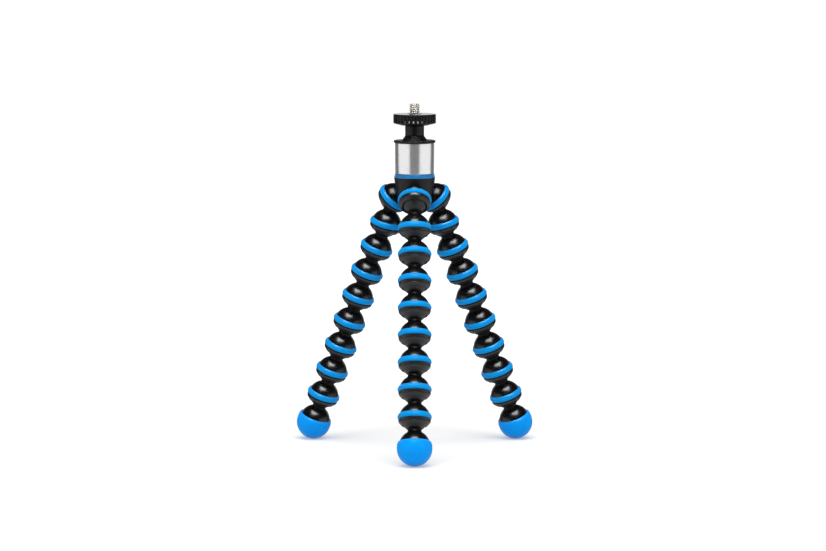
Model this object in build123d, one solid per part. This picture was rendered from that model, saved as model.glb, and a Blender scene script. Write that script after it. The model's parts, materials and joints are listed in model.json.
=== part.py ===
from build123d import *
from math import cos, pi, radians, sin, sqrt, tan
import os

# Flexible leg tripod: a ball head on a hub with three legs, each leg a chain of ball joints.
# Millimetres, +Z up. The origin is where the head's axis meets the top face of the knurled wheel.

os.makedirs("parts", exist_ok=True)

# Shared sizes of the chain
link_count = 8
ball_radius = 8.3
ball_clearance = 0.08
neck_radius = 4.1
neck_length = 1.4136
dome_wall = 1.12
skirt_wall = 0.72
skirt_depth = 2.6
lip_overlap = 0.95
mouth_flare = 0.4
seat_gap = 0.05

# Rubber ring round each socket, its radii counted from the dome
ring_top = 2.9
ring_shoulder_proud = 0.55
ring_shoulder_height = 2.0
ring_crown_proud = 0.95
ring_crown_height = 0.9
ring_foot_proud = 0.6
ring_foot_depth = 0.8

# Retaining collar under each ring, its walls counted from its bore
collar_top_wall = 0.85
collar_step_depth = 2.8
collar_step_wall = 0.45
collar_lower_wall = 0.3
collar_lower_depth = 3.0
collar_chamfer_inset = 0.6
collar_chamfer_depth = 3.5
collar_rim_width = 0.15
collar_depth = 4.65

# Legs: socket axis on the hub, then the tilt of each link from the vertical
leg_azimuths = {"front": -90.0, "right": 30.0, "left": 150.0}
hub_socket_tilt_angle = 45.0
hub_socket_reach = 15.4
hub_socket_rise = 0.4
first_link_tilt_angle = 17.5
second_link_tilt_angle = 24.5
third_link_tilt_angle = 24.0
lower_link_tilt_angle = 22.0

# Foot: core inside and rubber pad outside
foot_core_inset = 0.7
foot_core_drop = 1.7
foot_pad_wall = 1.95
foot_rim_height = 2.5
foot_rim_wall = 0.7
foot_shoulder_inset = 0.4
foot_shoulder_height = 1.6

# Camera screw and knurled wheel
screw_radius = 3.175
screw_root_radius = 2.49
screw_pitch = 1.27
screw_crest_width = 0.16
screw_flank_angle = 30.0
screw_bore_clearance = 0.12
screw_height = 6.2
screw_tip_radius = 2.6
screw_tip_height = 0.35
screw_head_radius = 5.0
screw_head_depth = 1.6
screw_head_length = 3.0
shank_radius = 2.5
shank_depth = 14.6
wheel_radius = 13.2
wheel_rib_depth = 0.55
wheel_rib_count = 33
wheel_rib_width_share = 0.42
wheel_thickness = 5.8
wheel_groove_depth = 4.9
wheel_edge_break = 0.4
wheel_bevel_radius = 8.4
wheel_depth = 7.0

# Head ball, its stem and the parts that hold it
stem_radius = 5.88
stem_top_depth = 7.3
head_ball_radius = 8.65
head_ball_depth = 20.1
cap_overhang = 0.73
cap_mouth_rise = 3.8
cap_flange_thickness = 1.5
cap_skirt_overlap = 2.0
cap_edge_break = 0.35
seat_side_gap = 0.05
seat_rim_drop = 3.9
seat_floor = 0.95
seat_bore_radius = 3.0
spring_side_gap = 0.6
spring_inner_radius = 4.2
spring_thickness = 0.8
spring_cone_height = 0.9
spring_gap = 0.3
sleeve_wall = 0.97
sleeve_low_wall = 0.78
sleeve_clearance = 0.06
sleeve_gap = 0.1
sleeve_length = 18.9

# Hub
journal_wall = 2.44
journal_gap = 0.6
hub_bore_gap = 0.1
band_gap = 0.2
band_height = 2.4
band_top_wall = 0.9
band_low_wall = 1.45
hub_low_radius = 11.2
hub_height = 14.0
hub_core_radius = 9.0
hub_core_length = 2.6
hub_edge_break = 0.8
overrun = 5.0
downward = (Align.CENTER, Align.CENTER, Align.MAX)

# Radii that follow from the sizes above
cavity_radius = ball_radius + ball_clearance
dome_radius = cavity_radius + dome_wall
skirt_radius = cavity_radius + skirt_wall
lip_radius = ball_radius - lip_overlap
mouth_radius = lip_radius + mouth_flare
ring_shoulder_radius = dome_radius + ring_shoulder_proud
ring_crown_radius = dome_radius + ring_crown_proud
ring_foot_radius = dome_radius + ring_foot_proud
collar_bore_radius = skirt_radius + seat_gap
collar_top_radius = collar_bore_radius + collar_top_wall
collar_step_radius = collar_bore_radius + collar_step_wall
collar_lower_radius = collar_bore_radius + collar_lower_wall
collar_chamfer_radius = collar_lower_radius - collar_chamfer_inset
collar_rim_radius = mouth_radius + collar_rim_width
foot_core_radius = dome_radius - foot_core_inset
foot_inner_radius = foot_core_radius + seat_gap
foot_pad_radius = foot_inner_radius + foot_pad_wall
foot_rim_radius = foot_inner_radius + foot_rim_wall
foot_shoulder_radius = foot_pad_radius - foot_shoulder_inset
seat_radius = head_ball_radius + seat_side_gap
hub_bore_radius = seat_radius + hub_bore_gap
spring_outer_radius = hub_bore_radius - spring_side_gap
journal_radius = hub_bore_radius + journal_wall
sleeve_bore_radius = journal_radius + sleeve_clearance
sleeve_radius = sleeve_bore_radius + sleeve_wall
sleeve_low_radius = sleeve_bore_radius + sleeve_low_wall
band_top_radius = sleeve_bore_radius + band_top_wall
band_low_radius = sleeve_bore_radius + band_low_wall
cap_radius = sleeve_radius + cap_overhang

# Heights that follow from the sizes above, counted down from the camera seat
cap_top_depth = head_ball_depth - cap_mouth_rise
cap_flange_depth = cap_top_depth + cap_flange_thickness
seat_top_depth = head_ball_depth + seat_rim_drop
seat_bottom_depth = head_ball_depth + head_ball_radius + seat_floor
cap_skirt_depth = seat_top_depth + cap_skirt_overlap
sleeve_top_depth = cap_flange_depth + sleeve_gap
sleeve_bottom_depth = sleeve_top_depth + sleeve_length
journal_top_depth = cap_skirt_depth + journal_gap
band_top_depth = sleeve_bottom_depth + band_gap
band_bottom_depth = band_top_depth + band_height
hub_bottom_depth = band_bottom_depth + hub_height
hub_core_depth = hub_bottom_depth + hub_core_length
hub_socket_height = hub_socket_rise - hub_bottom_depth


def turned(*edges):
    """Solid of revolution about Z from the edges of a closed half section in the XZ plane."""
    section = make_face(Wire(edges))
    return revolve(section, Axis.Z)


def point(radius, height):
    return (radius, 0.0, height)


def lines(*corners):
    """Straight edges through the given (radius, height) corners."""
    return [Line(point(*a), point(*b)) for a, b in zip(corners, corners[1:])]


def arc(centre_height, radius, start, end):
    """Arc of a circle centred on the axis, between two (radius, height) corners."""
    middle_r = (start[0] + end[0]) / 2
    middle_z = (start[1] + end[1]) / 2 - centre_height
    stretch = radius / sqrt(middle_r**2 + middle_z**2)
    middle = (middle_r * stretch, centre_height + middle_z * stretch)
    return ThreePointArc(point(*start), point(*middle), point(*end))


def chord(radius, other):
    return sqrt(radius**2 - other**2)


link_pitch = chord(ball_radius, neck_radius) + neck_length + chord(dome_radius, neck_radius)
lip_depth = chord(cavity_radius, lip_radius)
collar_top_depth = ring_foot_depth + seat_gap
upper_tilts = [first_link_tilt_angle, second_link_tilt_angle, third_link_tilt_angle]
link_tilts = upper_tilts + [lower_link_tilt_angle] * (link_count - len(upper_tilts))


def ball_and_neck():
    """Edges from the top of the dome up the neck and round the ball to its pole."""
    ball_side = (ball_radius, link_pitch)
    neck_top = (neck_radius, link_pitch - chord(ball_radius, neck_radius))
    pole = (0.0, link_pitch + ball_radius)
    neck = lines((neck_radius, chord(dome_radius, neck_radius)), neck_top)
    lower = arc(link_pitch, ball_radius, neck_top, ball_side)
    upper = arc(link_pitch, ball_radius, ball_side, pole)
    return neck + [lower, upper]


def link_moulding():
    """Ball, neck and dome of one link, the socket's centre at the origin and the ball above it."""
    top = (0.0, cavity_radius)
    side = (cavity_radius, 0.0)
    shoulder = (skirt_radius, chord(dome_radius, skirt_radius))
    dome_top = (neck_radius, chord(dome_radius, neck_radius))
    edges = [arc(0.0, cavity_radius, top, side)]
    edges += lines(side, (cavity_radius, -skirt_depth), (skirt_radius, -skirt_depth), shoulder)
    edges += [arc(0.0, dome_radius, shoulder, dome_top)]
    edges += ball_and_neck()
    edges += lines((0.0, link_pitch + ball_radius), top)
    return turned(*edges)


def rubber_ring():
    """Rubber ring seated on the dome, its crown standing proud of it."""
    seat = dome_radius + seat_gap
    bore = collar_bore_radius
    upper = (chord(seat, ring_top), ring_top)
    corner = (bore, chord(seat, bore))
    crown = (ring_crown_radius, ring_crown_height)
    shoulder = (ring_shoulder_radius, ring_shoulder_height)
    foot = (ring_foot_radius, -ring_foot_depth)
    edges = [ThreePointArc(point(*upper), point(*shoulder), point(*crown))]
    edges += lines(crown, foot, (bore, -ring_foot_depth), corner)
    edges += [arc(0.0, seat, corner, upper)]
    return turned(*edges)


def retaining_collar():
    """Stepped collar sleeved over the socket's skirt, with the lip that holds the ball."""
    bore = collar_bore_radius
    floor = skirt_depth + seat_gap
    seat = (chord(cavity_radius, floor), -floor)
    lip = (lip_radius, -lip_depth)
    edges = lines(
        (bore, -collar_top_depth),
        (collar_top_radius, -collar_top_depth),
        (collar_step_radius, -collar_step_depth),
        (collar_lower_radius, -collar_step_depth),
        (collar_lower_radius, -collar_lower_depth),
        (collar_chamfer_radius, -collar_chamfer_depth),
        (collar_rim_radius, -collar_depth),
        (mouth_radius, -collar_depth),
        lip,
    )
    edges += [arc(0.0, cavity_radius, lip, seat)]
    edges += lines(seat, (bore, -floor), (bore, -collar_top_depth))
    return turned(*edges)


def foot_core():
    """Ball, neck, glossy dome and the core that the rubber pad is stretched over."""
    rim = (chord(dome_radius, foot_rim_height), foot_rim_height)
    step = (foot_core_radius, foot_rim_height)
    side = (foot_core_radius, -foot_core_drop)
    pole = (0.0, -foot_core_drop - foot_core_radius)
    dome_top = (neck_radius, chord(dome_radius, neck_radius))
    edges = [arc(-foot_core_drop, foot_core_radius, pole, side)]
    edges += lines(side, step, rim)
    edges += [arc(0.0, dome_radius, rim, dome_top)]
    edges += ball_and_neck()
    edges += lines((0.0, link_pitch + ball_radius), pole)
    return turned(*edges)


def foot_pad():
    """Rubber pad with an open rim above and a round sole below."""
    inner = foot_inner_radius
    outer_side = (foot_pad_radius, -foot_core_drop)
    inner_side = (inner, -foot_core_drop)
    outer_pole = (0.0, -foot_core_drop - foot_pad_radius)
    inner_pole = (0.0, -foot_core_drop - inner)
    rim_height = foot_rim_height - seat_gap
    rim = (foot_rim_radius, rim_height)
    shoulder = (foot_shoulder_radius, foot_shoulder_height)
    widest = (foot_pad_radius, 0.0)
    edges = [arc(-foot_core_drop, inner, inner_pole, inner_side)]
    edges += lines(inner_side, (inner, rim_height), rim)
    edges += [ThreePointArc(point(*rim), point(*shoulder), point(*widest))]
    edges += lines(widest, outer_side)
    edges += [arc(-foot_core_drop, foot_pad_radius, outer_side, outer_pole)]
    edges += lines(outer_pole, inner_pole)
    return turned(*edges)


def along(reach, height, tilt, distance):
    """Point that lies the given distance down a link from a joint, in the leg's own plane."""
    return reach + distance * sin(radians(tilt)), height - distance * cos(radians(tilt))


def placed(shape, azimuth, reach, height, tilt):
    """Shape moved to a joint in the plane of one leg and turned so that its axis follows the leg."""
    return Rot(0, 0, azimuth) * Pos(reach, 0, height) * Rot(0, -tilt, 0) * shape


def write(name, *solids):
    shape = Compound(label=name, children=list(solids)) if len(solids) > 1 else solids[0]
    shape.label = name
    export_step(shape, f"parts/{name}.step")


# Legs
moulding = link_moulding()
ring = rubber_ring()
collar = retaining_collar()
core = foot_core()
pad = foot_pad()

for leg, azimuth in leg_azimuths.items():
    write(f"{leg}_hub_ring", placed(ring, azimuth, hub_socket_reach, hub_socket_height, hub_socket_tilt_angle))
    write(f"{leg}_hub_collar", placed(collar, azimuth, hub_socket_reach, hub_socket_height, hub_socket_tilt_angle))
    reach, height = hub_socket_reach, hub_socket_height
    for number, tilt in enumerate(link_tilts, start=1):
        reach, height = along(reach, height, tilt, link_pitch)
        pieces = [placed(piece, azimuth, reach, height, tilt) for piece in (moulding, collar, ring)]
        write(f"{leg}_link_{number}", *pieces)
    reach, height = along(reach, height, lower_link_tilt_angle, link_pitch)
    write(f"{leg}_foot_link", placed(core, azimuth, reach, height, lower_link_tilt_angle))
    write(f"{leg}_foot_pad", placed(pad, azimuth, reach, height, lower_link_tilt_angle))


def camera_screw():
    """Steel screw: ridged end above the seat, flat head inside the wheel and a plain shank below."""
    flank_rise = (screw_radius - screw_root_radius) * tan(radians(screw_flank_angle))
    corners = [(0.0, screw_height), (screw_tip_radius, screw_height)]
    crest = screw_height - screw_tip_height - flank_rise
    low_end = -screw_head_depth
    while crest > screw_crest_width:
        corners += [(screw_root_radius, crest + flank_rise), (screw_radius, crest)]
        corners += [(screw_radius, crest - screw_crest_width)]
        corners += [(screw_root_radius, crest - screw_crest_width - flank_rise)]
        crest -= screw_pitch
    corners += [(screw_root_radius, low_end), (screw_head_radius, low_end)]
    corners += [(screw_head_radius, low_end - screw_head_length), (shank_radius, low_end - screw_head_length)]
    corners += [(shank_radius, -shank_depth), (0.0, -shank_depth), (0.0, screw_height)]
    return turned(*lines(*corners))


def knurled_wheel():
    """Wheel with a ribbed rim, a flat top face and a bevelled underside, bored for the screw."""
    root = wheel_radius - wheel_rib_depth
    half_break = wheel_edge_break / 2
    corners = [(0.0, 0.0), (wheel_radius - wheel_edge_break, 0.0), (wheel_radius, -half_break)]
    corners += [(wheel_radius, half_break - wheel_thickness), (wheel_bevel_radius, -wheel_depth)]
    corners += [(0.0, -wheel_depth), (0.0, 0.0)]
    body = turned(*lines(*corners))
    groove_share = 1 - wheel_rib_width_share
    groove_width = 2 * pi * wheel_radius / wheel_rib_count * groove_share
    groove = Box(overrun, groove_width, wheel_groove_depth + overrun)
    groove = Pos(root + overrun / 2, 0, (overrun - wheel_groove_depth) / 2) * groove
    grooves = [Rot(0, 0, i * 360 / wheel_rib_count) * groove for i in range(wheel_rib_count)]
    body -= grooves
    bore = Cylinder(screw_radius + screw_bore_clearance, 2 * screw_head_depth)
    head_room = Cylinder(screw_head_radius + seat_gap, screw_head_length + 2 * seat_gap)
    body -= bore
    body -= Pos(0, 0, -screw_head_depth - screw_head_length / 2) * head_room
    shank_room = Cylinder(shank_radius + seat_gap, wheel_depth)
    body -= Pos(0, 0, -screw_head_depth - wheel_depth / 2) * shank_room
    return body


def ball_stem():
    """Stem with the head ball on its lower end, bored for the screw's shank."""
    shoulder = (stem_radius, chord(head_ball_radius, stem_radius) - head_ball_depth)
    side = (head_ball_radius, -head_ball_depth)
    pole = (0.0, -head_ball_depth - head_ball_radius)
    bore = shank_radius + ball_clearance
    floor = -shank_depth - spring_gap
    edges = lines((bore, -stem_top_depth), (stem_radius, -stem_top_depth), shoulder)
    edges += [arc(-head_ball_depth, head_ball_radius, shoulder, side)]
    edges += [arc(-head_ball_depth, head_ball_radius, side, pole)]
    edges += lines(pole, (0.0, floor), (bore, floor), (bore, -stem_top_depth))
    return turned(*edges)


def top_cap():
    """Flange over the sleeve and a skirt inside it, with the round seat that holds the head ball."""
    hold = head_ball_radius + ball_clearance
    mouth = (chord(hold, head_ball_depth - cap_top_depth), -cap_top_depth)
    side = (hold, -head_ball_depth)
    guide = seat_radius + ball_clearance
    edges = lines(
        mouth,
        (cap_radius - cap_edge_break, -cap_top_depth),
        (cap_radius, -cap_top_depth - cap_edge_break),
        (cap_radius, -cap_flange_depth),
        (journal_radius, -cap_flange_depth),
        (journal_radius, -cap_skirt_depth),
        (guide, -cap_skirt_depth),
        (guide, -head_ball_depth - ball_clearance),
        (hold, -head_ball_depth - ball_clearance),
        side,
    )
    edges += [arc(-head_ball_depth, hold, side, mouth)]
    return turned(*edges)


def ball_seat():
    """Cup under the head ball."""
    hold = head_ball_radius + ball_clearance
    rim = (chord(hold, seat_top_depth - head_ball_depth), -seat_top_depth)
    low = (seat_bore_radius, -head_ball_depth - chord(hold, seat_bore_radius))
    edges = lines((seat_bore_radius, -seat_bottom_depth), (seat_radius, -seat_bottom_depth))
    edges += lines((seat_radius, -seat_bottom_depth), (seat_radius, -seat_top_depth), rim)
    edges += [arc(-head_ball_depth, hold, rim, low)]
    edges += lines(low, (seat_bore_radius, -seat_bottom_depth))
    return turned(*edges)


def disc_springs():
    """Two coned spring washers stacked point to point under the ball seat."""
    top = -seat_bottom_depth - spring_gap
    cone = spring_cone_height
    upper = [(spring_inner_radius, top), (spring_outer_radius, top - cone)]
    upper += [(spring_outer_radius, top - cone - spring_thickness)]
    upper += [(spring_inner_radius, top - spring_thickness)]
    base = top - 2 * cone - 2 * spring_thickness - seat_gap
    lower = [(radius, base + top - height) for radius, height in reversed(upper)]
    return [turned(*lines(*half, half[0])) for half in (upper, lower)]


def silver_sleeve():
    corners = [(sleeve_bore_radius, -sleeve_top_depth), (sleeve_radius, -sleeve_top_depth)]
    corners += [(sleeve_low_radius, -sleeve_bottom_depth), (sleeve_bore_radius, -sleeve_bottom_depth)]
    return turned(*lines(*corners, corners[0]))


def blue_band():
    corners = [(sleeve_bore_radius, -band_top_depth), (band_top_radius, -band_top_depth)]
    corners += [(band_low_radius, -band_bottom_depth), (sleeve_bore_radius, -band_bottom_depth)]
    return turned(*lines(*corners, corners[0]))


def hub_body():
    """Journal inside the sleeve, round body and three sockets that lean out from its lower part."""
    stack = 2 * spring_cone_height + 2 * spring_thickness + seat_gap
    bore_floor = seat_bottom_depth + spring_gap + stack + seat_gap
    corners = [(hub_bore_radius, -journal_top_depth), (journal_radius, -journal_top_depth)]
    corners += [(journal_radius, -band_bottom_depth - seat_gap), (band_low_radius, -band_bottom_depth - seat_gap)]
    corners += [(hub_low_radius, hub_edge_break - hub_bottom_depth)]
    corners += [(hub_low_radius - hub_edge_break, -hub_bottom_depth)]
    corners += [(hub_core_radius, -hub_bottom_depth), (hub_core_radius - hub_edge_break, -hub_core_depth)]
    corners += [(0.0, -hub_core_depth), (0.0, -bore_floor), (hub_bore_radius, -bore_floor)]
    body = turned(*lines(*corners, corners[0]))
    shell_top = (0.0, dome_radius)
    shoulder = (skirt_radius, chord(dome_radius, skirt_radius))
    shell_edges = [arc(0.0, dome_radius, shell_top, shoulder)]
    shell_edges += lines(shoulder, (skirt_radius, -skirt_depth), (0.0, -skirt_depth), shell_top)
    shell = turned(*shell_edges)
    reach = ring_crown_radius + seat_gap
    room = Pos(0, 0, ring_top + seat_gap) * Cylinder(reach, ring_top + 2 * overrun, align=downward)
    cavity = Sphere(cavity_radius) + Cylinder(cavity_radius, 2 * overrun, align=downward)
    for azimuth in leg_azimuths.values():
        body -= placed(room, azimuth, hub_socket_reach, hub_socket_height, hub_socket_tilt_angle)
    for azimuth in leg_azimuths.values():
        body += placed(shell, azimuth, hub_socket_reach, hub_socket_height, hub_socket_tilt_angle)
    for azimuth in leg_azimuths.values():
        body -= placed(cavity, azimuth, hub_socket_reach, hub_socket_height, hub_socket_tilt_angle)
    return body


# Head and hub
write("camera_screw", camera_screw())
write("knurled_wheel", knurled_wheel())
write("ball_stem", ball_stem())
write("top_cap", top_cap())
write("silver_sleeve", silver_sleeve())
write("blue_band", blue_band())
write("ball_seat", ball_seat())
write("disc_springs", *disc_springs())
write("hub_body", hub_body())
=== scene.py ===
# %% [markdown]
# # A flexible leg tripod, dressed for its picture
# This is a small camera tripod whose legs are chains of ball-jointed links. Its construction is already
# packed as a frame: every piece has its place, its joints and its real size. The frame's own pieces could
# be reshaped, but they carry the joints, so they are never moved or changed. They get finishes, and where a
# finer shape is worth having, a new mesh stands for a piece and rides on the same body.

# %% Load the frame
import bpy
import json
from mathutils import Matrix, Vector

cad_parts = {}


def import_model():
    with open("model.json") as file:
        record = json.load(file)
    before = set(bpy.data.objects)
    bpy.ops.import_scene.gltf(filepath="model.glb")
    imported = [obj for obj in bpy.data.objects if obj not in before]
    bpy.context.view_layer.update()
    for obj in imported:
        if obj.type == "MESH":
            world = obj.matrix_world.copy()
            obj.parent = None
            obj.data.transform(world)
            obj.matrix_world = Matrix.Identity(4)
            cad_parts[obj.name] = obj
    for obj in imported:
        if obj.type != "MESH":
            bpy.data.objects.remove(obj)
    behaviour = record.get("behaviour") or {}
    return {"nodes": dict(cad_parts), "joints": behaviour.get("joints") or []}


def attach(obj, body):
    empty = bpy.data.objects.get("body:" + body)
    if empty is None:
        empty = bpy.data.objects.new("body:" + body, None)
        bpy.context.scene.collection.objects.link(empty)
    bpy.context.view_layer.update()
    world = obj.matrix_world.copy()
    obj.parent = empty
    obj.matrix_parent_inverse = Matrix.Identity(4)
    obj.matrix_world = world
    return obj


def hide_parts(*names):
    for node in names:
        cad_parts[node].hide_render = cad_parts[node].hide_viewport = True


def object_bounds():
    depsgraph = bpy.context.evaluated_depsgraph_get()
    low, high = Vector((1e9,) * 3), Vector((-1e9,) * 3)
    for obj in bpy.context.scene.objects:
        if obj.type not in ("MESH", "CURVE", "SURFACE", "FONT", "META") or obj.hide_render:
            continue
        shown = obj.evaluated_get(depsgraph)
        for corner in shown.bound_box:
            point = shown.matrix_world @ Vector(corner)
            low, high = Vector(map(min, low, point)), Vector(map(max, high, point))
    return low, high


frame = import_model()
cad_low, cad_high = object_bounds()

# %% [markdown]
# The shapes here are worked out in millimetres, as a maker would draw them, and turned into metres once.
# Almost every piece of this tripod came off a lathe or out of a round mould, so it is drawn as half a
# section. A Bevel modifier could soften the edges later, but a sharp corner catches no light and only some
# corners of the real pieces are soft. So each corner of a section can carry its own rounding, before the
# section is spun.

# %% Imports, unit and section helpers
import json
import math
import bmesh
import bpy
from mathutils import Matrix, Vector

MM = 0.001
NEARLY_HALF = 0.49


def bend(corners, steps):
    """Smooth stretch from the first corner to the last, pulled towards the corners between them."""
    points = []
    for k in range(steps + 1):
        level = [Vector(corner) for corner in corners]
        while len(level) > 1:
            level = [a.lerp(b, k / steps) for a, b in zip(level, level[1:])]
        points.append(tuple(level[0]))
    return points


def rounded(corners, steps=4):
    """Outline from (radius, height) or (radius, height, rounding) corners, sharp where none is given."""
    path = []
    for i, corner in enumerate(corners):
        here = Vector(corner[:2])
        size = corner[2] if len(corner) > 2 else 0.0
        if size == 0.0 or i in (0, len(corners) - 1):
            path.append(tuple(here))
            continue
        back = Vector(corners[i - 1][:2]) - here
        ahead = Vector(corners[i + 1][:2]) - here
        reach = min(size, back.length * NEARLY_HALF, ahead.length * NEARLY_HALF)
        path += bend([here + back.normalized() * reach, here, here + ahead.normalized() * reach], steps)
    return path


def loop(corners):
    """Outline that runs back to its first corner, which stays sharp."""
    return rounded(corners + corners[:1])[:-1]


def arc(centre_height, radius, start_angle, end_angle, steps):
    """Points of a circle centred on the axis; the angle is counted from straight down, in degrees."""
    angles = [math.radians(start_angle + (end_angle - start_angle) * k / steps) for k in range(steps + 1)]
    return [(radius * math.sin(a), centre_height - radius * math.cos(a)) for a in angles]


print("one unit is", MM, "m")

# %% [markdown]
# A Screw modifier could spin the sections, but it keeps the radius the same all round, and the wheel's ribs
# and the camera thread need a radius that changes with the angle. So one helper joins rings of points to a
# skin, and the lathe is its plainest case. Points on the axis become one vertex, so that the poles close
# without a pinhole.

# %% The skin and the lathe
TURN_STEPS = 72
ON_AXIS = 1e-6


def skin(name, rings, closed=False, capped=False, sharp=38.0):
    """Mesh through rings of (radius, height) points, smooth but across edges sharper than the given angle."""
    bm = bmesh.new()
    made = []
    for ring in rings:
        if ring[0][0] < ON_AXIS:
            made.append([bm.verts.new((0, 0, ring[0][1] * MM))])
            continue
        angles = [2 * math.pi * k / len(ring) for k in range(len(ring))]
        made.append([bm.verts.new((radius * MM * math.cos(a), radius * MM * math.sin(a), height * MM))
                     for a, (radius, height) in zip(angles, ring)])
    steps = max(len(ring) for ring in made)
    for lower, upper in zip(made, made[1:] + (made[:1] if closed else [])):
        for k in range(steps):
            n = (k + 1) % steps
            corners = list(dict.fromkeys((lower[k % len(lower)], lower[n % len(lower)],
                                          upper[n % len(upper)], upper[k % len(upper)])))
            if len(corners) > 2:
                bm.faces.new(corners)
    if capped:
        bm.faces.new(made[0])
        bm.faces.new(made[-1])
    bmesh.ops.recalc_face_normals(bm, faces=bm.faces)
    mesh = bpy.data.meshes.new(name)
    bm.to_mesh(mesh)
    bm.free()
    mesh.shade_smooth()
    mesh.set_sharp_from_angle(angle=math.radians(sharp))
    return mesh


def lathe(name, section, closed=False, steps=TURN_STEPS):
    """Mesh of revolution round Z from a half section; closed for a ring or a tube."""
    return skin(name, [[point] * steps for point in section], closed)


print("each lathe ring has", TURN_STEPS, "vertices")

# %% [markdown]
# Each new mesh has to sit on the right body, so that it moves with its joint, and to name the frame nodes
# that it stands for. Doing both in one helper means that no piece can be left behind. Links share one mesh,
# as the real ones come out of one mould, and the helper adds a finish only once to it.

# %% Seating a piece
def piece(name, mesh, body, nodes, finish, slot, place=Matrix()):
    """Put a mesh in the scene, give it its finish, seat it on its body and let it stand for frame nodes."""
    thing = bpy.data.objects.new(name, mesh)
    bpy.context.scene.collection.objects.link(thing)
    thing.matrix_world = place
    if not mesh.materials:
        mesh.materials.append(finish)
    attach(thing, body)
    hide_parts(*nodes)
    return thing


# %% [markdown]
# ## Finishes
# Every finish starts from one small helper that makes a Principled shader, because the finishes differ only
# in the nodes that feed it. Images could carry the grain, but noise nodes need no unwrapping and stay sharp
# at any distance. Texture coordinates are the object's own, so that grain stays on the piece when a leg
# bends. Values that are the same all over go straight on the shader's sockets.

# %% Node helpers
WHITE = (1, 1, 1, 1)


def new_finish(name, **sockets):
    """Material with a Principled shader whose sockets are set by name; returns the material and its nodes."""
    mat = bpy.data.materials.new(name)
    mat.use_nodes = True
    tree = mat.node_tree
    shader = tree.nodes["Principled BSDF"]
    for label, value in sockets.items():
        shader.inputs[label.replace("_", " ")].default_value = value
    return mat, tree, shader


def node(tree, kind, **settings):
    """New shader node; a setting is a socket's value where the node has that socket."""
    made = tree.nodes.new("ShaderNode" + kind)
    for label, value in settings.items():
        if label in made.inputs:
            made.inputs[label].default_value = value
        else:
            setattr(made, label, value)
    return made


def feed(tree, socket, value):
    """Put a plain number on a socket, or link it to another node's output."""
    if isinstance(value, (int, float)):
        socket.default_value = value
    else:
        tree.links.new(value, socket)


def math_node(tree, operation, *values):
    made = node(tree, "Math", operation=operation)
    for socket, value in zip(made.inputs, values):
        feed(tree, socket, value)
    return made.outputs[0]


def ramp(tree, source, start, end, low=0.0, high=1.0, **settings):
    """Map start..end of a value to low..high, and hold it level outside."""
    made = node(tree, "MapRange", **settings)
    for label, value in (("From Min", start), ("From Max", end), ("To Min", low), ("To Max", high)):
        made.inputs[label].default_value = value
    tree.links.new(source, made.inputs["Value"])
    return made.outputs["Result"]


def blended(tree, mask, low, high):
    """The first value where the mask is nought and the second where it is one."""
    mix = node(tree, "Mix")
    for label, value in (("Factor", mask), ("A", low), ("B", high)):
        feed(tree, mix.inputs[label], value)
    return mix.outputs["Result"]


print("node helpers ready")

# %% [markdown]
# Real surfaces drift a little in colour, in gloss and in height. One noise helper serves all three: it is
# spread over a range for the gloss, tints the colour and drives the bump. Painted maps could do it too, but
# each mesh would need its own. Noise mostly stays near its middle, so it is clipped there and stretched.

# %% Grain helpers
NOISE_MIDDLE = (0.3, 0.7)


def grain(tree, scale, detail=3.0, stretch=(1, 1, 1)):
    """Noise with a number of waves to the metre, stretched along an axis where the grain runs."""
    where = node(tree, "TexCoord")
    shape = node(tree, "Mapping")
    shape.inputs["Scale"].default_value = stretch
    noise = node(tree, "TexNoise", Scale=scale, Detail=detail)
    tree.links.new(where.outputs["Object"], shape.inputs["Vector"])
    tree.links.new(shape.outputs["Vector"], noise.inputs["Vector"])
    return noise.outputs["Fac"]


def spread(tree, source, low, high):
    return ramp(tree, source, *NOISE_MIDDLE, low, high)


def tinted(tree, shader, source, first, second):
    """Colour that drifts between two close shades."""
    mix = node(tree, "Mix", data_type="RGBA")
    mix.inputs["A"].default_value = (*first, 1)
    mix.inputs["B"].default_value = (*second, 1)
    tree.links.new(spread(tree, source, 0, 1), mix.inputs["Factor"])
    tree.links.new(mix.outputs["Result"], shader.inputs["Base Color"])


def bumped(tree, shader, height, distance, strength):
    bump = node(tree, "Bump", Strength=strength, Distance=distance)
    tree.links.new(height, bump.inputs["Height"])
    tree.links.new(bump.outputs["Normal"], shader.inputs["Normal"])


print("noise is clipped to", NOISE_MIDDLE)

# %% [markdown]
# Some pieces are polished in one place and dull in another. Vertex colours could mark the places, but a
# mask worked out from the piece's own coordinates or normals stays crisp on any mesh, and also works on the
# hub, whose mesh belongs to the frame.

# %% Masks
SOFT_STEP = 0.0006
LOOKS_UP = (0.4, 0.5)
SOCKET_EDGE = (0.0096, 0.0098)
STEM_START = -0.0146


def rising(tree, source, start, end):
    """Nought to one while the height of a point, or of a normal, goes from start to end."""
    where = node(tree, "TexCoord")
    parts = node(tree, "SeparateXYZ")
    tree.links.new(where.outputs[source], parts.inputs["Vector"])
    return ramp(tree, parts.outputs["Z"], start, end)


def above(tree, height):
    """Mask of what lies higher than the given height, in metres."""
    return rising(tree, "Object", height, height + SOFT_STEP)


def facing_up(tree):
    """Mask of faces that look up or slant upwards."""
    return rising(tree, "Normal", *LOOKS_UP)


def on_the_stem(tree):
    """Mask of the stem above the head ball."""
    return above(tree, STEM_START)


def round_the_sockets(tree):
    """Mask of the hub's three domes, which lie within a dome's radius of the first ball joints."""
    where = node(tree, "TexCoord")
    nearest = SOCKET_EDGE[1]
    for joint in frame["joints"]:
        if joint["name"].endswith("_ball_1"):
            away = node(tree, "VectorMath", operation="DISTANCE")
            away.inputs[1].default_value = joint["pos_m"]
            tree.links.new(where.outputs["Object"], away.inputs[0])
            nearest = math_node(tree, "MINIMUM", nearest, away.outputs["Value"])
    return ramp(tree, nearest, *SOCKET_EDGE, 1.0, 0.0)


print("masks for faces up, stem and sockets ready")

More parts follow.
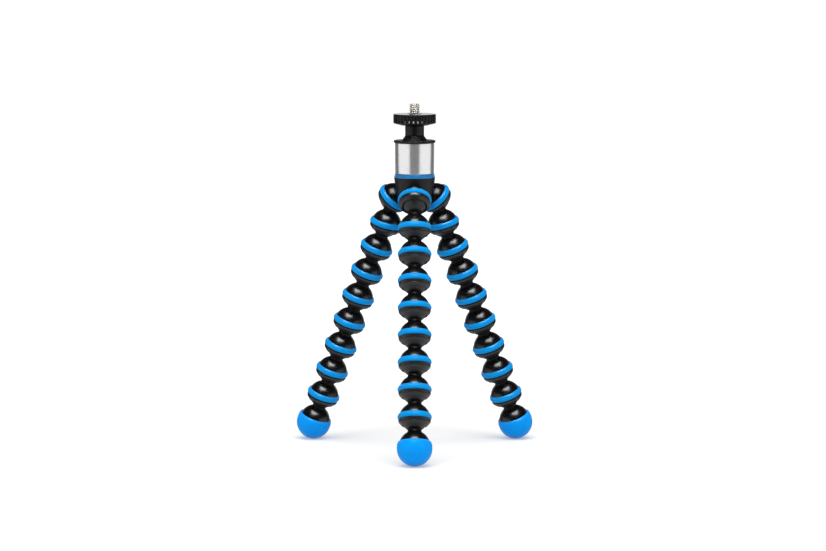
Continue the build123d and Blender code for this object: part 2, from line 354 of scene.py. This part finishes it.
# %% [markdown]
# The link mouldings are glossy black plastic, straight from a polished mould. The gloss is not perfect:
# handling leaves faint rubbed patches, and the plastic sinks a few thousandths of a millimetre where it is
# thick. One even roughness would look like glass, so slow noise in the roughness and a very shallow bump
# give both. The neck is dull at its fillet, and the ball above it is matt, because a ball joint holds by
# friction.

# %% Glossy black plastic
NECK_START, BALL_START = 0.008, 0.0104


def glossy_black():
    mat, tree, shader = new_finish("glossy_black", IOR=1.5)
    tinted(tree, shader, grain(tree, scale=180.0, detail=2.0), (0.002, 0.002, 0.0023), (0.003, 0.003, 0.0033))
    neck, ball = above(tree, NECK_START), above(tree, BALL_START)
    dome_rough = spread(tree, grain(tree, scale=520.0, detail=4.0), 0.23, 0.27)
    tree.links.new(blended(tree, neck, dome_rough, 0.4), shader.inputs["Roughness"])
    shine = blended(tree, ball, blended(tree, neck, 0.5, 0.15), 0.6)
    tree.links.new(shine, shader.inputs["Specular IOR Level"])
    bumped(tree, shader, grain(tree, scale=260.0, detail=1.0), distance=0.000004, strength=0.3)
    return mat


GLOSSY_BLACK = glossy_black()
print(GLOSSY_BLACK.name)

# %% [markdown]
# Collars, wheel, stem and top cap are the same black with a fine spark-eroded texture, which scatters the
# light and looks greyer. A lighter colour could imitate that, but it would stay grey in the shade too. So
# the colour stays black, a fine grain goes into the bump, and a broader one into the roughness.

# %% Satin black plastic
def satin_black(name, grey, rough, polished=None, polish=0.24, ior=1.42):
    """Satin plastic; polished is a function that gives the mask of the parts left shinier by the mould."""
    mat, tree, shader = new_finish(name, IOR=ior)
    lighter = grey * 1.5
    tinted(tree, shader, grain(tree, scale=300.0), (grey, grey, grey * 1.05), (lighter, lighter, grey * 1.55))
    roughness = spread(tree, grain(tree, scale=700.0, detail=4.0), *rough)
    if polished:
        roughness = blended(tree, polished(tree), roughness, polish)
    tree.links.new(roughness, shader.inputs["Roughness"])
    bumped(tree, shader, grain(tree, scale=4200.0, detail=2.0), distance=0.000006, strength=0.3)
    return mat


SATIN_BLACK = satin_black("satin_black", grey=0.001, rough=(0.38, 0.46))
COLLAR_BLACK = satin_black("collar_black", grey=0.005, rough=(0.3, 0.36), ior=1.54)
WHEEL_BLACK = satin_black("wheel_black", grey=0.001, rough=(0.36, 0.44), polished=facing_up, polish=0.14)
HUB_BLACK = satin_black("hub_black", grey=0.001, rough=(0.38, 0.46), polished=round_the_sockets)
STEM_BLACK = satin_black("stem_black", grey=0.001, rough=(0.6, 0.66), polished=on_the_stem, polish=0.38)
print(SATIN_BLACK.name, COLLAR_BLACK.name, WHEEL_BLACK.name, HUB_BLACK.name, STEM_BLACK.name)

# %% [markdown]
# Rings and feet are blue rubber with a fine grain. Light enters rubber a little, which subsurface
# scattering could show, but from two metres it wouldn't be seen, so a plain colour does. Their upper edges,
# where hands rub them smooth, have a soft shine, and the rest hardly any. The feet are a slightly purer
# blue.

# %% Blue rubber
def blue_rubber(name, colour, second):
    mat, tree, shader = new_finish(name, IOR=1.4)
    tinted(tree, shader, grain(tree, scale=220.0, detail=3.0), colour, second)
    tree.links.new(spread(tree, grain(tree, scale=900.0, detail=4.0), 0.3, 0.38), shader.inputs["Roughness"])
    tree.links.new(blended(tree, facing_up(tree), 0.12, 0.62), shader.inputs["Specular IOR Level"])
    bumped(tree, shader, grain(tree, scale=5200.0, detail=2.0), distance=0.00001, strength=0.4)
    return mat


RING_BLUE = blue_rubber("ring_blue", (0.001, 0.27, 0.70), (0.002, 0.29, 0.74))
FOOT_BLUE = blue_rubber("foot_blue", (0.0004, 0.3, 0.88), (0.0008, 0.32, 0.93))
print(RING_BLUE.name, FOOT_BLUE.name)

# %% [markdown]
# The sleeve is turned aluminium. The tool leaves rings too fine to see one by one, which smear each
# reflection up and down the tube. Modelled rings would only flicker, so anisotropy gives the smear, and
# noise squeezed along the axis gives the rings. A small part of the light is scattered in all directions,
# as on any bare turned metal. The camera screw is steel; its thread is relief enough, and it gets no bump.

# %% Metals
TOOL_RINGS = (0.02, 0.02, 1.0)


def turned_metal(name, colour, rough, ring_scale, anisotropy, metallic=1.0, relief=0.000002):
    mat, tree, shader = new_finish(name, Metallic=metallic, Anisotropic=anisotropy)
    rings = grain(tree, ring_scale, detail=2.0, stretch=TOOL_RINGS)
    tinted(tree, shader, rings, colour, tuple(c * 0.9 for c in colour))
    roughness = spread(tree, grain(tree, scale=400.0, detail=3.0), rough, rough + 0.08)
    tree.links.new(roughness, shader.inputs["Roughness"])
    if relief:
        bumped(tree, shader, rings, relief, strength=0.2)
    return mat


SLEEVE_METAL = turned_metal("sleeve_metal", (0.84, 0.84, 0.85), rough=0.16, ring_scale=5200.0,
                            anisotropy=0.5, metallic=0.9)
SCREW_STEEL = turned_metal("screw_steel", (0.8, 0.77, 0.7), rough=0.5, ring_scale=1400.0,
                           anisotropy=0.0, metallic=0.85, relief=0)
SPRING_STEEL = turned_metal("spring_steel", (0.45, 0.45, 0.46), rough=0.34, ring_scale=2600.0,
                            anisotropy=0.2)
print(SLEEVE_METAL.name, SCREW_STEEL.name, SPRING_STEEL.name)

# %% [markdown]
# The blue band under the sleeve is anodised: the dye gives it a body colour, and the metal under it still
# mirrors the same zones of light as the sleeve, so it is darker in the middle. A fully metallic blue would
# go black wherever the studio is dark, so only a part of the shader is metallic.

# %% Blue anodised band
def anodised_blue():
    mat, tree, shader = new_finish("anodised_blue", Metallic=0.35, IOR=1.45)
    rings = grain(tree, 5200.0, detail=2.0, stretch=TOOL_RINGS)
    tinted(tree, shader, rings, (0.025, 0.22, 0.54), (0.03, 0.24, 0.58))
    tree.links.new(spread(tree, grain(tree, scale=400.0, detail=3.0), 0.2, 0.26), shader.inputs["Roughness"])
    bumped(tree, shader, rings, distance=0.000003, strength=0.3)
    return mat


BAND_BLUE = anodised_blue()
print(BAND_BLUE.name)

# %% [markdown]
# ## One link
# A link is three pieces that were put together once: a black moulding with a small ball on top and a hollow
# dome below, a blue ring stretched round the dome's widest part, and a stepped collar that closes the mouth
# round the next link's ball. Spheres and cylinders could be joined with booleans, but one spun section
# keeps the waisted neck smooth. The dome's centre is the origin here, and the ball stands one pitch above
# it.

# %% The link's moulding
PITCH = 17.2
BALL, NECK, DOME, CAVITY = 8.3, 4.1, 9.5, 8.38
SKIRT, SKIRT_DEPTH = 9.1, 2.6
DOME_FILLET, BALL_FILLET = 0.5, 0.2
WAIST_PULL, WAIST_DROP, WAIST_STEPS = 0.15, 0.1, 4


def polar(radius, sphere):
    """Angle from straight down at which a sphere has the given radius, in degrees."""
    return math.degrees(math.asin(radius / sphere))


def neck_and_ball():
    """Angle where the dome ends, and the outline from there up a waisted neck and round the ball."""
    dome_end = 180 - polar(NECK + DOME_FILLET, DOME)
    ball = arc(PITCH, BALL, polar(NECK + BALL_FILLET, BALL), 180, steps=20)
    top, foot = arc(0, DOME, 90, dome_end, steps=1)[-1], ball[0]
    waist = (NECK - WAIST_PULL, (top[1] + foot[1]) / 2 - WAIST_DROP)
    return dome_end, bend([top, waist, foot], WAIST_STEPS)[1:-1] + ball


def link_moulding():
    dome_end, upper = neck_and_ball()
    section = arc(0, CAVITY, 180, 90, steps=10) + [(CAVITY, -SKIRT_DEPTH), (SKIRT, -SKIRT_DEPTH)]
    section += arc(0, DOME, 180 - polar(SKIRT, DOME), dome_end, steps=14)
    return lathe("link_moulding", section + upper)


moulding_mesh = link_moulding()
print("link moulding", len(moulding_mesh.vertices), "vertices")

# %% [markdown]
# The ring is a band with a rounded crown, highest a little above its middle, and its upper edge thins out
# against the dome. The collar under it is stepped: a groove whose wall slants inward and so stays dark, a
# nearly straight band, a second, shallow groove, and a cone down to the lip that holds the next ball. The
# grooves could be painted dark, but as real steps they also show in the outline, from every side.

# %% Ring and collar
RING, RING_BORE, RING_TOP, RING_CROWN, RING_LOW = 10.45, 9.16, 2.84, 0.7, -0.82
LIP, MOUTH, COLLAR_BORE, COLLAR_TOP, COLLAR_DEPTH = 7.35, 7.75, 9.2, -0.88, 4.65
CROWN_STEPS = 6


def ring_mesh():
    crown = (RING, RING_CROWN)
    upper = bend([(9.12, RING_TOP), (9.92, RING_TOP), (RING, 1.1), crown], CROWN_STEPS)
    lower = bend([crown, (RING, -0.9), (9.31, RING_LOW), (RING_BORE, RING_LOW)], CROWN_STEPS)
    return lathe("rubber_ring", upper + lower[1:] + [(RING_BORE, 2.5), (9.08, 2.78)], closed=True)


def collar_mesh():
    section = loop([
        (COLLAR_BORE, COLLAR_TOP), (9.6, COLLAR_TOP, 0.03), (9.32, -1.36, 0.03), (9.94, -1.36, 0.04),
        (9.9, -1.62, 0.1), (9.72, -2.6, 0.08), (9.32, -2.72, 0.03), (9.32, -2.94, 0.03), (9.46, -3.0, 0.06),
        (8.88, -3.55, 0.25), (7.95, -4.6, 0.12), (MOUTH, -COLLAR_DEPTH, 0.08), (7.42, -4.1, 0.06),
        (LIP, -4.0, 0.04), (7.95, -2.8), (COLLAR_BORE, -2.7),
    ])
    return lathe("retaining_collar", section, closed=True)


link_meshes = {"moulding": (moulding_mesh, GLOSSY_BLACK, "black_plastic"),
               "ring": (ring_mesh(), RING_BLUE, "blue_rubber"),
               "collar": (collar_mesh(), COLLAR_BLACK, "black_plastic")}
print({part: len(m[0].vertices) for part, m in link_meshes.items()})

# %% [markdown]
# The frame's joints say where each link goes: a leg's hinges sit at the centres of its ball joints, so a
# link runs from its own hinge to the next one. The links could be set along a drawn curve instead, but then
# they wouldn't meet their joints. The matrix below stands a mesh at a joint and points its top at the joint
# above it.

# %% Where the joints are
LEGS = ("front", "left", "right")
LINKS = 8
centres = {j["name"]: Vector(j["pos_m"]) for j in frame["joints"] if "pos_m" in j}


def leg_centres(leg):
    """Ball centres of one leg from the hub down, then the foot's centre one pitch further on."""
    found = [centres[f"{leg}_ball_{k}"] for k in range(1, LINKS + 2)]
    last = (found[-1] - found[-2]).normalized() * PITCH * MM
    return found + [found[-1] + last]


def standing(at, towards):
    """Matrix that puts the origin at a point and turns +Z towards another."""
    turn = (towards - at).to_track_quat("Z", "Y").to_matrix().to_4x4()
    return Matrix.Translation(at) @ turn


for leg in LEGS:
    print(leg, [round(c.z, 4) for c in leg_centres(leg)])

# %% [markdown]
# The twenty-four links are alike, so a loop makes them. An array along the leg could copy them too, but its
# copies would be one object, and here every link has to move on its own body.

# %% Dress the links
for leg in LEGS:
    chain = leg_centres(leg)
    for number in range(1, LINKS + 1):
        place = standing(chain[number], chain[number - 1])
        body = f"{leg}_link_{number}"
        for part, (mesh, finish, slot) in link_meshes.items():
            piece(f"{body}_{part}", mesh, body, [body], finish, slot, place)
print("links dressed:", len(LEGS) * LINKS)

# %% [markdown]
# ## Feet
# A foot is a last ball and dome with a thick rubber cap pulled over its lower half. The cap has a soft
# rolled rim, straight sides at the widest part and a round sole. Two balls could stand for it, but the rim
# and the line where it grips the dome make it look pulled on, so both are in the section.

# %% Foot pieces
FOOT_CORE, FOOT_DROP, FOOT_PAD = 8.8, 1.7, 10.8
FOOT_SHOULDER, SHOULDER_HEIGHT = 9.15, 2.4
PAD_GAP, RIM_TOP, RIM_STEPS = 0.05, 2.6, 8


def foot_core_mesh():
    dome_end, upper = neck_and_ball()
    section = arc(-FOOT_DROP, FOOT_CORE, 0, 90, steps=10) + [(FOOT_CORE, SHOULDER_HEIGHT)]
    section += arc(0, DOME, 180 - polar(FOOT_SHOULDER, DOME), dome_end, steps=14)
    return lathe("foot_core", section + upper)


def foot_pad_mesh():
    inside = FOOT_CORE + PAD_GAP
    section = arc(-FOOT_DROP, FOOT_PAD, 0, 90, steps=22)
    section += bend([section[-1], (FOOT_PAD, -1.35), (10.94, 2.76), (9.3, RIM_TOP)], RIM_STEPS)[1:]
    section += [(9.2, 2.5), (inside, 2.35)]
    section += arc(-FOOT_DROP, inside, 90, 0, steps=8)
    return lathe("foot_pad", section)


foot_core, foot_pad = foot_core_mesh(), foot_pad_mesh()
for leg in LEGS:
    chain = leg_centres(leg)
    body, place = f"{leg}_foot", standing(chain[-1], chain[-2])
    piece(f"{body}_moulding", foot_core, body, [f"{body}_link"], GLOSSY_BLACK, "black_plastic", place)
    piece(f"{body}_rubber", foot_pad, body, [f"{body}_pad"], FOOT_BLUE, "foot_rubber", place)
print("feet", len(foot_pad.vertices), "vertices each")

# %% [markdown]
# ## Hub
# The hub body keeps the frame's own mesh, because its sockets grow out of it there, and a new mesh would
# need the same booleans again. The rings and collars of its three sockets are the same pieces as on the
# links, seated at the hub's joints and leaning outwards.

# %% Hub rings and collars
SOCKET_TILT = math.radians(45)
for leg in LEGS:
    at = centres[f"{leg}_ball_1"]
    outward = Vector((at.x, at.y, 0)).normalized()
    up_axis = -outward * math.sin(SOCKET_TILT) + Vector((0, 0, math.cos(SOCKET_TILT)))
    place = standing(at, at + up_axis)
    for part in ("ring", "collar"):
        mesh, finish, slot = link_meshes[part]
        piece(f"{leg}_socket_{part}", mesh, "hub", [f"{leg}_hub_{part}"], finish, slot, place)

hub = frame["nodes"]["hub_body"]
hub.data.materials.clear()
hub.data.materials.append(HUB_BLACK)
print("hub dressed", [round(v, 4) for v in hub.matrix_world.translation])

# %% [markdown]
# ## Head
# From the hub upwards: the blue band, the bare silver sleeve that clamps the head ball, the black top cap,
# the ball and its stem, the knurled wheel and the camera screw. Heights are counted down from the camera
# seat. The sleeve, band and cap are tubes off a lathe, so they are spun here too. Plain cylinders would do
# for their size, but the sleeve's slight taper and the broken edges are what the light shows.

# %% Sleeve, band and cap
HEAD_STEPS = 96
TUBE_BORE = 11.3
SLEEVE_TOP, SLEEVE_LOW, BAND_TOP, BAND_LOW = -17.9, -36.8, -37.0, -39.4
FLANGE, CAP_TOP, CAP_SKIRT, CAP_LOW, CAP_BORE = 13.0, -16.3, 11.25, -26.0, 8.78
CAP_MOUTH, CAP_HOLD, HOLD_HEIGHT = 7.8, 8.73, -20.1


def sleeve_mesh():
    section = loop([(TUBE_BORE, SLEEVE_TOP), (12.27, SLEEVE_TOP, 0.15), (12.08, SLEEVE_LOW, 0.15),
                    (TUBE_BORE, SLEEVE_LOW, 0.1)])
    return lathe("sleeve", section, closed=True, steps=HEAD_STEPS)


def band_mesh():
    section = loop([(TUBE_BORE, BAND_TOP), (12.28, BAND_TOP, 0.08), (12.76, -39.1, 0.2),
                    (12.68, BAND_LOW, 0.1), (TUBE_BORE, BAND_LOW, 0.1)])
    return lathe("band", section, closed=True, steps=HEAD_STEPS)


def cap_mesh():
    section = rounded([(7.85, CAP_TOP), (12.65, CAP_TOP, 0.15), (FLANGE, -16.6, 0.25), (FLANGE, -17.5, 0.25),
                       (12.65, -17.8, 0.15), (CAP_SKIRT, -17.8, 0.1), (CAP_SKIRT, CAP_LOW, 0.2),
                       (CAP_BORE, CAP_LOW, 0.1), (CAP_BORE, -20.2)])
    hold = arc(HOLD_HEIGHT, CAP_HOLD, 90, 180 - polar(CAP_MOUTH, CAP_HOLD), steps=6)
    return lathe("cap", section + hold[1:-1], closed=True, steps=HEAD_STEPS)


piece("silver_sleeve_tube", sleeve_mesh(), "lock_collar", ["silver_sleeve"], SLEEVE_METAL, "silver_metal")
piece("top_cap_flange", cap_mesh(), "lock_collar", ["top_cap"], SATIN_BLACK, "satin_black")
piece("blue_band_ring", band_mesh(), "hub", ["blue_band"], BAND_BLUE, "blue_anodised")
print("sleeve, band and cap dressed")

# %% [markdown]
# The stem and the head ball are one moulding. A cylinder standing in a sphere would meet it in a hard line,
# but the real stem flares softly into the ball, so the corner between them gets a rounding in the section.

# %% Stem and head ball
HEAD_BALL, BALL_HEIGHT, STEM, STEM_TOP = 8.65, -20.1, 5.88, -7.3
STEM_BORE, BORE_LOW, FLARE, FLARE_HEIGHT = 2.58, -14.9, 0.35, 1.0


def stem_mesh():
    ball = arc(BALL_HEIGHT, HEAD_BALL, 0, 180 - polar(STEM + FLARE, HEAD_BALL), steps=24)
    shoulder = ball[-1]
    stem = rounded([shoulder, (STEM, shoulder[1] + FLARE_HEIGHT, 0.8), (STEM, STEM_TOP, 0.25),
                    (STEM_BORE, STEM_TOP)])
    return lathe("stem", ball + stem[1:] + [(STEM_BORE, BORE_LOW), (0.0, BORE_LOW)])


piece("ball_and_stem", stem_mesh(), "ball_post", ["ball_stem"], STEM_BLACK, "satin_black")
print("stem dressed")

# %% [markdown]
# The wheel's rim has thirty-three ribs. Each is a rounded bar, and the grooves between them run out on a
# slant above the bevelled underside. The slanted ends look up into the overhead light, which is where the
# small bright triangles come from. The grooves could be cut with booleans, but rings whose radius follows
# the angle make ribs and ends one clean skin.

# %% Knurled wheel
RIBS, RIB_STEPS = 33, 12
WHEEL, GROOVE = 13.2, 0.75
GROOVE_SHARE, GROOVE_POWER = 0.66, 0.42


def rib_depth(turn):
    """Share of the groove's depth at a turn counted in ribs: flat on a rib, round in the groove."""
    across = abs((turn % 1.0) - 0.5) * 2 / GROOVE_SHARE
    return (1 - across**2) ** GROOVE_POWER if across < 1 else 0.0


def wheel_mesh():
    """Outline from the screw's countersink over the seat and the rim to the underside and the bore."""
    seat = [(3.3, -1.6), (3.3, -1.1), (4.6, -0.2), (4.85, 0.0), (8.0, 0.0)]
    rim = [(12.55, 0.0, 0.0), (12.75, -0.01, 0.0), (12.95, -0.08, 0.3), (13.1, -0.22, 0.7),
           (WHEEL, -0.5, 1.0), (WHEEL, -2.4, 1.0), (WHEEL, -3.95, 1.0), (WHEEL, -5.1, 0.0), (WHEEL, -5.5, 0.0),
           (13.1, -5.72, 0.0), (12.8, -5.85, 0.0), (10.4, -6.45, 0.0), (8.7, -6.93, 0.0), (8.4, -7.0, 0.0)]
    under = [(5.8, -7.0), (2.55, -7.0), (2.55, -4.65), (5.05, -4.65), (5.05, -1.6)]
    steps = range(RIBS * RIB_STEPS)
    depths = [GROOVE * rib_depth(k / RIB_STEPS) for k in steps]
    rings = [[point for _ in steps] for point in seat]
    rings += [[(radius - share * depths[k], height) for k in steps] for radius, height, share in rim]
    rings += [[point for _ in steps] for point in under]
    return skin("wheel", rings, closed=True, sharp=30.0)


piece("wheel_ribbed", wheel_mesh(), "wheel", ["knurled_wheel"], WHEEL_BLACK, "satin_black")
print("wheel has", RIBS, "ribs")

# %% [markdown]
# A thread is a height map wrapped round a cylinder: at each angle and height the radius depends only on how
# far along the pitch that point lies. A profile could be swept along a helix, but it would overlap itself
# at the root. The height map gives a true helix in one skin, and the chamfer at the tip is just a limit on
# the radius.

# %% Camera screw
THREAD_CREST, THREAD_ROOT, THREAD_PITCH = 3.175, 2.49, 1.27
ROOT_FLAT, FLANK = 0.14, 0.66
SCREW_TOP, TIP, CHAMFER_SLOPE, THREAD_END = 6.2, 2.55, 1.3, -1.55
THREAD_STEPS, THREAD_ROWS = 48, 24
COLLAR_AND_SHANK = ((5.0, -1.6), (5.0, -4.6), (2.5, -4.6), (2.5, -14.6))


def thread_radius(turn, height):
    """Radius of a right-hand thread: crest flat, straight flanks and a flat root."""
    away = abs((height / THREAD_PITCH - turn) % 1.0 - 0.5) * 2
    rise = min(1.0, max(0.0, (away - ROOT_FLAT) / FLANK))
    body = THREAD_ROOT + (THREAD_CREST - THREAD_ROOT) * rise
    return min(body, TIP + (SCREW_TOP - height) * CHAMFER_SLOPE)


def screw_mesh():
    rows = int((SCREW_TOP - THREAD_END) / THREAD_PITCH * THREAD_ROWS)
    rings = []
    for row in range(rows + 1):
        height = SCREW_TOP + (THREAD_END - SCREW_TOP) * row / rows
        rings.append([(thread_radius(k / THREAD_STEPS, height), height) for k in range(THREAD_STEPS)])
    rings += [[point] * THREAD_STEPS for point in COLLAR_AND_SHANK]
    return skin("screw", rings, capped=True, sharp=50.0)


piece("camera_screw_thread", screw_mesh(), "wheel", ["camera_screw"], SCREW_STEEL, "screw_steel")
print("thread pitch", THREAD_PITCH, "mm")

# %% [markdown]
# The ball seat and the disc springs lie inside the head and never show. New meshes would add nothing there,
# so they keep the frame's meshes and only get their finishes.

# %% Hidden pieces
for name, finish in (("ball_seat", SATIN_BLACK), ("disc_springs", SPRING_STEEL)):
    inside = frame["nodes"][name]
    inside.data.materials.clear()
    inside.data.materials.append(finish)
print("seat and springs finished")

# %% [markdown]
# ## Floor, backdrop and light
# The picture was taken on a white sweep under large soft lights. A curved sheet could be modelled, but a
# wide flat floor that carries the contact shadows and glows towards its far edge runs into the white world
# without a horizon. Only the camera sees the glow, so that it adds no light. The floor and the lamps light
# the tripod, but what its shiny surfaces reflect is painted in the world below. The floor's underside is
# clear, so that the soles of the feet can be looked at from below.

# %% Floor
FLOOR_SIZE, FLOOR_GREY = 6.0, 0.68
GLOW_REACH, GLOW_LEVEL = (0.12, 0.7), (0.31, 0.8)


def looked_at(tree):
    """One for rays that come from the camera, straight or through something clear."""
    path = node(tree, "LightPath")
    return math_node(tree, "MAXIMUM", path.outputs["Is Camera Ray"], path.outputs["Is Transmission Ray"])


def white_floor():
    mat, tree, shader = new_finish("white_floor", Base_Color=(FLOOR_GREY, FLOOR_GREY, FLOOR_GREY, 1),
                                   Emission_Color=WHITE, Roughness=0.9, Specular_IOR_Level=0.0)
    where, away = node(tree, "TexCoord"), node(tree, "VectorMath", operation="LENGTH")
    tree.links.new(where.outputs["Object"], away.inputs[0])
    glow = ramp(tree, away.outputs["Value"], *GLOW_REACH, *GLOW_LEVEL)
    tree.links.new(math_node(tree, "MULTIPLY", glow, looked_at(tree)), shader.inputs["Emission Strength"])
    side, clear, either = node(tree, "NewGeometry"), node(tree, "BsdfTransparent"), node(tree, "MixShader")
    tree.links.new(side.outputs["Backfacing"], either.inputs[0])
    tree.links.new(shader.outputs[0], either.inputs[1])
    tree.links.new(clear.outputs[0], either.inputs[2])
    tree.links.new(either.outputs[0], tree.nodes["Material Output"].inputs["Surface"])
    return mat


def floor():
    bm = bmesh.new()
    bmesh.ops.create_grid(bm, x_segments=1, y_segments=1, size=FLOOR_SIZE / 2)
    mesh = bpy.data.meshes.new("floor")
    bm.to_mesh(mesh)
    bm.free()
    mesh.materials.append(white_floor())
    plane = bpy.data.objects.new("floor", mesh)
    plane.location.z = cad_low.z
    plane.visible_glossy = False
    bpy.context.scene.collection.objects.link(plane)


floor()
print("floor at", round(cad_low.z, 5), "m")

# %% [markdown]
# In the photograph the silver sleeve shows what stood round the tripod: a grey zone on the camera's side, a
# bright panel on each side, a dark gap behind each panel and the white backdrop. The domes show one soft
# box, high and in front. Cards and lamps could stand there, but they would show when the tripod is seen
# from another side. So the world holds the same zones as smooth windows in angle round the tripod and in
# height, for reflections only.

# %% Zones of the studio
# Each zone has a turn away from the camera's side and a height, in degrees, then its softness and brightness.
ZONES = (
    ("camera side", (-10, 29), (-18, 8), 4, 0.12),
    ("side panel", (29, 109), (-18, 8), 4, 1.0),
    ("dark gap", (109, 143), (-18, 8), 4, 0.05),
    ("low backdrop", (143, 190), (-18, 0), 4, 0.3),
    ("high backdrop", (143, 190), (0, 15), 3, 0.9),
    ("near floor", (-10, 190), (-36, -18), 4, 0.6),
    ("floor", (-10, 190), (-100, -36), 6, 0.85),
)
BOX_TOWARDS, BOX_UP = (0, -0.469, 0.883), (0, 0.883, 0.469)
BOX_HALF_WIDTH, BOX_HALF_HEIGHT, BOX_EDGE, BOX_LEVEL = 0.36, 0.31, 0.06, 12.5
DARK, IN_FRONT = 0.05, 0.001


def window(tree, value, low, high, edge):
    """One inside low..high, nought outside, with smooth edges."""
    sides = [ramp(tree, value, start, end, interpolation_type="SMOOTHSTEP")
             for start, end in ((low - edge, low + edge), (high + edge, high - edge))]
    return math_node(tree, "MULTIPLY", *sides)


print("zones", [zone[0] for zone in ZONES])

# %% [markdown]
# A world shader is asked for a direction. Its turn round the tripod and its height pick the zone, and both
# sides are alike, so the turn is worked out from the sideways part without its sign. The soft box is flat,
# so it is measured across and along its own plane, as a real box would be.

# %% What a reflection sees
def along(tree, direction, axis):
    """How far a direction goes along an axis."""
    made = node(tree, "VectorMath", operation="DOT_PRODUCT")
    made.inputs[1].default_value = axis
    tree.links.new(direction, made.inputs[0])
    return made.outputs["Value"]


def zones_level(tree, sideways, ahead, up):
    """Brightness of the zones round the tripod, and a dark rest."""
    turn = math_node(tree, "ARCTAN2", sideways, ahead)
    rise = math_node(tree, "ARCSINE", up)
    total = DARK
    for _, turns, heights, edge, level in ZONES:
        turns, heights, edge = map(math.radians, turns), map(math.radians, heights), math.radians(edge)
        inside = math_node(tree, "MULTIPLY", window(tree, turn, *turns, edge / 2),
                           window(tree, rise, *heights, edge))
        total = math_node(tree, "ADD", total, math_node(tree, "MULTIPLY", inside, level))
    return total


def box_level(tree, direction, sideways):
    """Brightness of the soft box."""
    depth = math_node(tree, "MAXIMUM", along(tree, direction, BOX_TOWARDS), IN_FRONT)
    across = math_node(tree, "DIVIDE", sideways, depth)
    upward = math_node(tree, "DIVIDE", along(tree, direction, BOX_UP), depth)
    inside = math_node(tree, "MULTIPLY", window(tree, across, -BOX_HALF_WIDTH, BOX_HALF_WIDTH, BOX_EDGE),
                       window(tree, upward, -BOX_HALF_HEIGHT, BOX_HALF_HEIGHT, BOX_EDGE))
    return math_node(tree, "MULTIPLY", inside, BOX_LEVEL)


def reflected_studio(tree):
    where, parts = node(tree, "TexCoord"), node(tree, "SeparateXYZ")
    direction = where.outputs["Generated"]
    tree.links.new(direction, parts.inputs["Vector"])
    sideways = math_node(tree, "ABSOLUTE", parts.outputs["X"])
    ahead = math_node(tree, "MULTIPLY", parts.outputs["Y"], -1.0)
    zones = zones_level(tree, sideways, ahead, parts.outputs["Z"])
    return math_node(tree, "ADD", zones, box_level(tree, direction, sideways))


print("soft box level", BOX_LEVEL)

# %% [markdown]
# The camera sees the world white, as the backdrop is, and its plain light on matt surfaces is even and
# weaker. More light could bleach the background instead, but it would bleach the tripod too. Three area
# lamps add the soft shadows under the feet and the shape of the collars; reflections don't see them,
# because the zones do that.

# %% World and lamps
PLAIN_LEVEL = 0.5
MIDDLE = Vector((0, 0, -0.1))


def world():
    sky = bpy.data.worlds.new("studio")
    bpy.context.scene.world = sky
    sky.use_nodes = True
    tree = sky.node_tree
    back = tree.nodes["Background"]
    path = node(tree, "LightPath")
    plain = ramp(tree, looked_at(tree), 0.0, 1.0, PLAIN_LEVEL, 1.0)
    level = blended(tree, path.outputs["Is Glossy Ray"], plain, reflected_studio(tree))
    tree.links.new(level, back.inputs["Strength"])
    back.inputs["Color"].default_value = WHITE


def softbox(name, at, width, height, power):
    """Rectangular area lamp turned towards the middle of the tripod."""
    lamp = bpy.data.lights.new(name, "AREA")
    lamp.shape = "RECTANGLE"
    lamp.size, lamp.size_y, lamp.energy = width, height, power
    box = bpy.data.objects.new(name, lamp)
    box.location = at
    box.rotation_euler = (MIDDLE - Vector(at)).to_track_quat("-Z", "Y").to_euler()
    box.visible_glossy = False
    bpy.context.scene.collection.objects.link(box)


world()
softbox("overhead", (0, -0.3, 0.9), width=1.0, height=0.8, power=10.0)
for side, x in (("left", -0.9), ("right", 0.9)):
    softbox(f"{side}_side", (x, -0.75, 0.25), width=0.5, height=0.9, power=3.0)

# %% [markdown]
# ## Camera
# The photograph looks slightly down at the tripod from about two metres with a long lens, with one leg
# pointing straight at the camera. The camera could be set by eye, but a small error shows in every link of
# a leg. So its place and lens come from fitting the ball joints' centres to the picture.

# %% Camera
CAMERA_AT = Vector((0, -2.184, 0.1348))
CAMERA_AIM = Vector((-0.001, 0, -0.1007))
SENSOR, FOCAL_PIXELS, PICTURE_WIDTH = 36.0, 3529.0, 826


def camera():
    eye = bpy.data.cameras.new("camera")
    eye.sensor_width = SENSOR
    eye.lens = SENSOR * FOCAL_PIXELS / PICTURE_WIDTH
    stand = bpy.data.objects.new("camera", eye)
    stand.location = CAMERA_AT
    stand.rotation_euler = (CAMERA_AIM - CAMERA_AT).to_track_quat("-Z", "Y").to_euler()
    bpy.context.scene.collection.objects.link(stand)
    bpy.context.scene.camera = stand
    return eye


print("lens", round(camera().lens, 1), "mm")
bpy.context.scene.view_settings.view_transform = "Standard"
